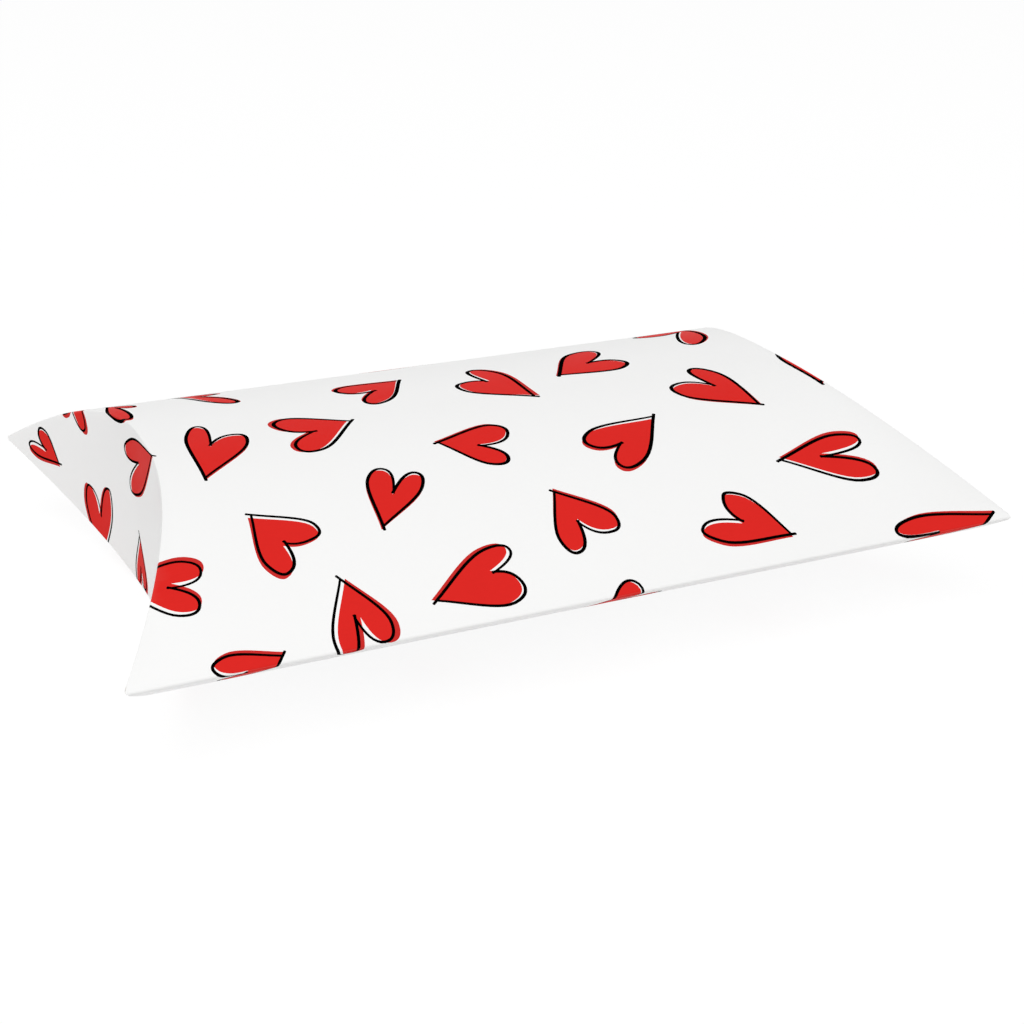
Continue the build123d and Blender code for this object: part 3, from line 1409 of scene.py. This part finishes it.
class BoardShop:
    """What every piece of board needs: sizes, fold tree, materials and print.

    Edges that turn by less than the smooth angle, in degrees, are shaded smooth.
    """

    smooth_angle: float = 40.0

    def __init__(self, sizes: BoxSizes) -> None:
        """Build what the pieces share.

        Args:
            sizes: the sizes of the box.
        """
        self.sizes = sizes
        self.folding = FoldTree(sizes.crease_radius)
        groups = BoardGroups()
        self.materials = {key: f.build(groups) for key, f in BOARD_FINISHES.items()}
        self.hearts = HeartPrint().hearts(sizes)

    def rule(self, level: Level, far: bool) -> FoldRule:
        """Return the fold rule of one side of a panel, in plain numbers.

        Args:
            level: the panel.
            far: whether the side is the far one, beyond the crown.

        Returns:
            The rule.
        """
        size = self.sizes
        at_lap = far and level is Level.LOWER
        return FoldRule(
            crown=size.crown,
            radius=size.radius,
            drop=size.drop,
            fold_radius=size.fold_radius,
            bow_turn=size.far_turn if at_lap else size.near_turn,
            fold_turn=size.far_fold_turn if at_lap else size.near_fold_turn,
            lap_radius=size.lap_radius,
            half_length=size.length / 2,
            crease_radius=size.crease_radius,
        )

    def local_hearts(self, level: Level, outline: list[Point]) -> list[Heart]:
        """Return the hearts that touch a region, in the places of its own panel.

        The lower panel follows the upper one over the near fold, so its places run back.

        Args:
            level: the panel.
            outline: the outline of the region.

        Returns:
            The hearts.
        """
        low = [min(p[i] for p in outline) for i in range(2)]
        high = [max(p[i] for p in outline) for i in range(2)]
        found = []
        for heart in self.hearts:
            near = heart
            if level is Level.LOWER:
                near = replace(
                    heart,
                    v=-2 * self.sizes.fold_line - heart.v,
                    turn=-heart.turn,
                    left=heart.right,
                    right=heart.left,
                    pen_slip=(heart.pen_slip[0], -heart.pen_slip[1]),
                    pen_turn=-heart.pen_turn,
                )
            place = near.middle
            if all(low[i] - near.reach < place[i] < high[i] + near.reach for i in range(2)):
                found.append(near)
        return found

    def fold(
        self, name: str, flat: bpy.types.Mesh, level: Level, seat: float, is_flap: bool
    ) -> bpy.types.Object:
        """Fold a flat piece of board and turn the result into a plain mesh.

        Args:
            name: the name of the piece.
            flat: its flat mesh.
            level: the panel that it belongs to.
            seat: how far inside the end of the box the flap of that panel stands.
            is_flap: whether it is such a flap itself.

        Returns:
            The finished object, at the origin.
        """
        given = self.folding.values(self.rule(level, False), self.rule(level, True))
        given["Flap Seat"] = seat
        given["Mid Height"] = self.sizes.rise
        given["Level"] = float(level.value)
        given["Is Flap"] = float(is_flap)
        given.update({key.name: material for key, material in self.materials.items()})
        piece = bpy.data.objects.new(name, flat)
        bpy.context.scene.collection.objects.link(piece)
        modifier = piece.modifiers.new("Fold", "NODES")
        modifier.node_group = self.folding.tree
        for item in self.folding.tree.interface.items_tree:
            if item.item_type == "SOCKET" and item.in_out == "INPUT" and item.name in given:
                modifier[item.identifier] = given[item.name]
        graph = bpy.context.evaluated_depsgraph_get()
        folded = bpy.data.meshes.new_from_object(
            piece.evaluated_get(graph), preserve_all_data_layers=True, depsgraph=graph
        )
        piece.modifiers.remove(modifier)
        piece.data = folded
        folded.name = name
        bpy.data.meshes.remove(flat)
        self.finish_mesh(folded)
        return piece

    def finish_mesh(self, mesh: bpy.types.Mesh) -> None:
        """Point the faces outwards, and shade them smooth up to the cut edges.

        Args:
            mesh: a folded mesh.
        """
        shell = bmesh.new()
        shell.from_mesh(mesh)
        bmesh.ops.recalc_face_normals(shell, faces=shell.faces)
        shell.to_mesh(mesh)
        shell.free()
        mesh.shade_smooth()
        mesh.set_sharp_from_angle(angle=math.radians(self.smooth_angle))
        mesh.update()


def spaced(start: float, end: float, step: float) -> list[float]:
    """Return evenly spaced numbers from start to end, at most a step apart, both included."""
    count = max(1, math.ceil(abs(end - start) / step))
    return [start + (end - start) * i / count for i in range(count + 1)]


@dataclass
class BoardPiece:
    """A piece of board, which stands for a CAD node.

    The seat is how far inside the end of the box the flap of its panel stands.
    """

    name: str
    node: str
    level: Level
    slot: str
    seat: float

    def stand_for_node(self, piece: bpy.types.Object) -> None:
        """Let the finished piece take the place of its CAD node."""
        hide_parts(self.node)


@dataclass
class Panel(BoardPiece):
    """A bowed panel, or the glue flap that runs on from one.

    It spans the board from low to high, across the box, and its ends stop at the creases. The
    steps are the widest distances between the lines that its faces follow, and that of a long
    fold is a share of its radius.
    """

    low: float
    high: float
    face: Finish = Finish.PRINTED
    taper: bool = False
    bow_step: float = 1.25
    crown_step: float = 1.5
    fold_step: float = 0.2
    column_step: float = 10.0
    column_margin: float = 2.0
    lap_length: float = 20.0
    least_step: float = 0.02

    def stations(self, shop: BoardShop) -> list[float]:
        """Choose the places across the board at which its form is followed, closer in a fold.

        Args:
            shop: what the pieces share.

        Returns:
            The places, from low to high.
        """
        marks = {self.low, self.high}
        for far in (False, True):
            rule = shop.rule(self.level, far)
            sign = 1 if far else -1
            fold_end = rule.bow_end + rule.fold_length
            for stretch in (
                (0.0, rule.crown, self.crown_step),
                (rule.crown, rule.bow_end, self.bow_step),
                (rule.bow_end, fold_end, rule.fold_radius * self.fold_step),
                (fold_end, fold_end + self.lap_length, self.bow_step),
            ):
                marks.update(sign * mark for mark in spaced(*stretch))
        kept = [self.low]
        for mark in sorted(mark for mark in marks if self.low < mark <= self.high):
            if mark - kept[-1] > self.least_step:
                kept.append(mark)
        kept[-1] = self.high
        return kept

    def end(self, shop: BoardShop, v: float) -> float:
        """Find the end of the board at a place across it.

        Args:
            shop: what the pieces share.
            v: the place across the board.

        Returns:
            How far from the middle of the box the board ends.
        """
        rule = shop.rule(self.level, v > 0)
        place, _ = rule.across(abs(v), 0.0)
        reach = rule.crease(place, self.seat) - rule.crease_loss
        if self.taper:
            reach = min(reach, (shop.sizes.length - shop.sizes.width) / 2 + place)
        return min(reach, shop.sizes.tip_reach)

    def build(self, shop: BoardShop) -> bpy.types.Object:
        """Build the panel and let it stand for its CAD node.

        Args:
            shop: what the pieces share.

        Returns:
            The finished piece.
        """
        stations = self.stations(shop)
        ends = [self.end(shop, v) for v in stations]
        right = list(zip(ends, stations))
        left = [(-end, v) for end, v in right]
        outline = right + left[::-1]
        across = [[a, b] for a, b in zip(left, right)][1:-1]
        bend = shop.rule(self.level, False).crease_half
        beside = [
            [(sign * (end - share * bend), v) for end, v in right]
            for share in (0.5, 1.0)
            for sign in (-1, 1)
        ]
        inner = min(ends) - self.column_margin
        columns = [[(u, self.low), (u, self.high)] for u in spaced(-inner, inner, self.column_step)]
        board = FlatBoard(outline, across + beside + columns, across, shop.sizes, self.face)
        is_printed = self.face is Finish.PRINTED
        hearts = shop.local_hearts(self.level, outline) if is_printed else []
        flat = board.build(self.name, hearts)
        piece = shop.fold(self.name, flat, self.level, self.seat, is_flap=False)
        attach(piece, "sleeve")
        self.stand_for_node(piece)
        return piece


@dataclass
class EndFlap(BoardPiece):
    """A bowed end flap, folded in at its curved crease."""

    body: str
    end: End
    free_gap: float
    flap_end: float
    station_step: float = 1.5
    rows: int = 14
    widest_bend: float = 0.45

    def reach(self, shop: BoardShop, v: float) -> tuple[float, float]:
        """Find the board of the flap at a place across it.

        Args:
            shop: what the pieces share.
            v: the place across the board.

        Returns:
            Where the board starts and ends along the blank.
        """
        rule = shop.rule(self.level, v > 0)
        place, height = rule.across(abs(v), 0.0)
        start = rule.crease(place, self.seat) - rule.crease_loss
        free = rule.bow_cosine(place, rule.radius - self.free_gap) - rule.drop
        return start, start + height + free - rule.crease_loss

    def row(
        self, spans: list[tuple[Point, float]], share: float, offset: float = 0.0
    ) -> list[Point]:
        """Draw a line along the flap.

        Args:
            spans: where the flap starts and ends along the blank, at each place across it.
            share: the share of the flap's depth at which the line lies.
            offset: how much further from the crease it lies, in millimetres.

        Returns:
            Places on the blank.
        """
        return [
            (self.end.value * (a + min(offset, self.widest_bend * (b - a)) + share * (b - a)), v)
            for (a, b), v in spans
        ]

    def build(self, shop: BoardShop) -> bpy.types.Object:
        """Build the flap and let it stand for its CAD node.

        Args:
            shop: what the pieces share.

        Returns:
            The finished piece.
        """
        size = shop.sizes
        half = spaced(size.crown, size.run_to(self.flap_end), self.station_step)
        spans = [(self.reach(shop, v), v) for v in [-v for v in half[::-1]] + [0.0] + half]
        crease, free = self.row(spans, 0.0), self.row(spans, 1.0)
        outline = FlatBoard.counter_clockwise(crease + free[::-1])
        across = [[a, b] for a, b in zip(crease, free)][1:-1]
        middle = [self.row(spans, i / self.rows) for i in range(1, self.rows)]
        bend = shop.rule(self.level, False).crease_half
        beside = [self.row(spans, 0.0, bend * 0.5), self.row(spans, 0.0, bend)]
        rulings = across + beside + middle
        board = FlatBoard(outline, rulings, across + middle[1:], size, Finish.PRINTED)
        flat = board.build(self.name, shop.local_hearts(self.level, outline))
        skin = flat.copy()
        for vertex in skin.vertices:
            vertex.co.z = 0.0
        skin = shop.fold(f"skin_of_{self.name}", skin, self.level, self.seat, is_flap=True)
        piece = shop.fold(self.name, flat, self.level, self.seat, is_flap=True)
        self.bend_with_joint(piece, skin, size)
        self.stand_for_node(piece)
        return piece

    def bend_with_joint(
        self, piece: bpy.types.Object, skin: bpy.types.Object, size: BoxSizes
    ) -> None:
        """Bake the flap's place into its mesh and drop the skin; the flap is not bent.

        Its printed face and its back keep the places that the fold gave them.

        Args:
            piece: the folded flap.
            skin: the same mesh folded without thickness. It is removed.
            size: the sizes of the box.
        """
        crown_x = size.length / 2 - size.rise - self.seat
        places = [vertex.co.copy() for vertex in piece.data.vertices]
        for vertex, above in zip(piece.data.vertices, skin.data.vertices):
            vertex.co = above.co
        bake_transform(piece)
        for vertex, place in zip(piece.data.vertices, places):
            vertex.co = place
        piece.data.update()
        bpy.data.meshes.remove(skin.data)


@dataclass(frozen=True)
class PillowBox:
    """The whole box: both panels, the glued seam and four end flaps."""

    sizes: BoxSizes = BoxSizes()

    def panels(self) -> list[Panel]:
        """Lay out the panels and the glue flap.

        Returns:
            The three pieces.
        """
        size = self.sizes
        far_bow = size.crown + size.radius * size.far_turn
        far_fold = size.fold_radius * size.far_fold_turn
        edge = size.seam_edge - size.glue_flap_width
        glue_tilt = math.asin((edge - size.crown) / size.lap_radius)
        glue_run = size.lap_radius * (size.lap_turn - glue_tilt)
        return [
            Panel(
                name="printed_top_panel",
                node="top_panel",
                level=Level.UPPER,
                slot="printed_board",
                seat=0.0,
                low=-size.fold_line,
                high=size.run_to(size.seam_edge),
            ),
            Panel(
                name="printed_bottom_panel",
                node="bottom_panel",
                level=Level.LOWER,
                slot="printed_board",
                seat=size.inner_seat,
                low=-size.fold_line,
                high=far_bow + far_fold / 2,
            ),
            Panel(
                name="plain_glue_flap",
                node="glue_flap",
                level=Level.LOWER,
                slot="plain_board",
                seat=size.inner_seat,
                low=far_bow + far_fold / 2,
                high=far_bow + far_fold + glue_run,
                face=Finish.PLAIN,
                taper=True,
            ),
        ]

    def flaps(self) -> list[EndFlap]:
        """Lay out the end flaps, an outer and an inner one at each end.

        Returns:
            The four flaps.
        """
        size = self.sizes
        kinds = (
            ("outer", Level.UPPER, 0.0, size.outer_free_gap, size.outer_flap_end),
            ("inner", Level.LOWER, size.inner_seat, size.inner_free_gap, size.inner_flap_end),
        )
        found = []
        for end in End:
            for kind, level, seat, free_gap, flap_end in kinds:
                body = f"{end.name.lower()}_{kind}"
                flap = EndFlap(
                    name=f"printed_{body}_flap",
                    node=f"{body}_flap",
                    level=level,
                    slot="printed_board",
                    seat=seat,
                    body=body,
                    end=end,
                    free_gap=free_gap,
                    flap_end=flap_end,
                )
                found.append(flap)
        return found

    def build(self) -> None:
        """Build and dress every piece, and report each."""
        shop = BoardShop(self.sizes)
        for part in [*self.panels(), *self.flaps()]:
            piece = part.build(shop)
            LOG.info("%s: %d faces for %s", piece.name, len(piece.data.polygons), part.node)
        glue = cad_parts["glue_line"]
        glue.data.materials.clear()
        glue.data.materials.append(AdhesiveFinish().build())
        LOG.info("glue_line: CAD node, dressed as dried adhesive")


# The studio


@dataclass(frozen=True)
class StudioCamera:
    """The camera at the photograph's place: metres and degrees, the lens in millimetres."""

    place: tuple[float, float, float] = (-0.11398, -0.26511, 0.13505)
    yaw: float = 24.4234
    pitch: float = 23.5264
    roll: float = 0.4349
    lens: float = 56.985
    sensor_width: float = 36.0
    clip: Point = (0.01, 20.0)

    def build(self) -> bpy.types.Object:
        """Build the camera and make it the scene's own.

        Returns:
            The camera.
        """
        data = bpy.data.cameras.new("studio_camera")
        data.lens = self.lens
        data.sensor_width = self.sensor_width
        data.clip_start, data.clip_end = self.clip
        camera = bpy.data.objects.new("studio_camera", data)
        bpy.context.scene.collection.objects.link(camera)
        turn = Matrix.Rotation(math.radians(-self.yaw), 4, "Z")
        tilt = Matrix.Rotation(math.pi / 2 - math.radians(self.pitch), 4, "X")
        lean = Matrix.Rotation(math.radians(self.roll), 4, "Z")
        camera.matrix_world = Matrix.Translation(self.place) @ turn @ tilt @ lean
        bpy.context.scene.camera = camera
        return camera


@dataclass(frozen=True)
class Softbox:
    """A square lamp that looks at the middle of the box: metres and watts."""

    name: str
    place: tuple[float, float, float]
    size: float
    power: float
    target: tuple[float, float, float] = (0.0, 0.0, 0.017)

    def build(self) -> bpy.types.Object:
        """Build the lamp.

        Returns:
            The lamp.
        """
        data = bpy.data.lights.new(self.name, "AREA")
        data.shape = "SQUARE"
        data.size = self.size
        data.energy = self.power
        lamp = bpy.data.objects.new(self.name, data)
        bpy.context.scene.collection.objects.link(lamp)
        lamp.location = self.place
        aim = Vector(self.target) - Vector(self.place)
        lamp.rotation_euler = aim.to_track_quat("-Z", "Y").to_euler()
        return lamp


@dataclass(frozen=True)
class Studio:
    """White sweep, even sky and a soft lamp."""

    sky: float = 0.45
    floor_glow: float = 0.92
    floor_albedo: float = 0.1
    bounce_albedo: float = 0.92
    floor_size: float = 12.0
    lamp: Softbox = Softbox("high_softbox", (-0.43, -0.61, 1.43), 1.3, 16.6)

    @staticmethod
    def show(
        tree: bpy.types.NodeTree, lit: bpy.types.Node, seen: bpy.types.Node, output: str
    ) -> None:
        """Let a surface light the box in one way and look another way.

        Args:
            tree: the node tree of the surface.
            lit: the shader that lights the box.
            seen: the shader for rays from the camera and for reflected or refracted ones.
            output: the type of the tree's output node.
        """
        path = add_node(tree, "ShaderNodeLightPath")
        direct = Field(tree, path.outputs["Is Camera Ray"])
        for name in ("Is Glossy Ray", "Is Transmission Ray"):
            direct = most(direct, Field(tree, path.outputs[name]))
        given = {0: direct, 1: lit.outputs[0], 2: seen.outputs[0]}
        mix = add_node(tree, "ShaderNodeMixShader", given)
        add_node(tree, output, {"Surface": mix.outputs[0]})

    def build_sky(self) -> None:
        """Build a world that lights evenly and looks white."""
        world = bpy.data.worlds.new("studio_sky")
        bpy.context.scene.world = world
        world.use_nodes = True
        tree = world.node_tree
        tree.nodes.clear()
        even = add_node(tree, "ShaderNodeBackground", {"Color": WHITE, "Strength": self.sky})
        white = add_node(tree, "ShaderNodeBackground", {"Color": WHITE, "Strength": 1.0})
        self.show(tree, even, white, "ShaderNodeOutputWorld")

    def build_floor(self) -> bpy.types.Object:
        """Build a pale floor that looks white and keeps a faint shadow.

        Returns:
            The floor, which is no part of the box.
        """
        half = self.floor_size / 2
        mesh = bpy.data.meshes.new("studio_floor")
        corners = [(-half, -half, 0.0), (half, -half, 0.0), (half, half, 0.0), (-half, half, 0.0)]
        mesh.from_pydata(corners, [], [(0, 1, 2, 3)])
        floor = bpy.data.objects.new("studio_floor", mesh)
        bpy.context.scene.collection.objects.link(floor)
        material = bpy.data.materials.new("studio_floor")
        material.use_nodes = True
        tree = material.node_tree
        tree.nodes.clear()
        matt, thin = (
            add_node(tree, "ShaderNodeBsdfDiffuse", {"Color": (albedo, albedo, albedo, 1.0)})
            for albedo in (self.bounce_albedo, self.floor_albedo)
        )
        glow = add_node(tree, "ShaderNodeEmission", {"Strength": self.floor_glow})
        lit = add_node(tree, "ShaderNodeAddShader", {0: thin.outputs[0], 1: glow.outputs[0]})
        self.show(tree, matt, lit, "ShaderNodeOutputMaterial")
        mesh.materials.append(material)
        return floor

    def build(self) -> None:
        """Build the studio."""
        bpy.context.scene.view_settings.view_transform = "Standard"
        self.build_sky()
        self.build_floor()
        self.lamp.build()
        LOG.info("studio: floor, sky and %s", self.lamp.name)


def main() -> None:
    """Build the camera, the box and the studio."""
    logging.basicConfig(level=logging.INFO, format="%(name)s: %(message)s")
    StudioCamera().build()
    PillowBox().build()
    Studio().build()


if __name__ == "__main__":
    main()
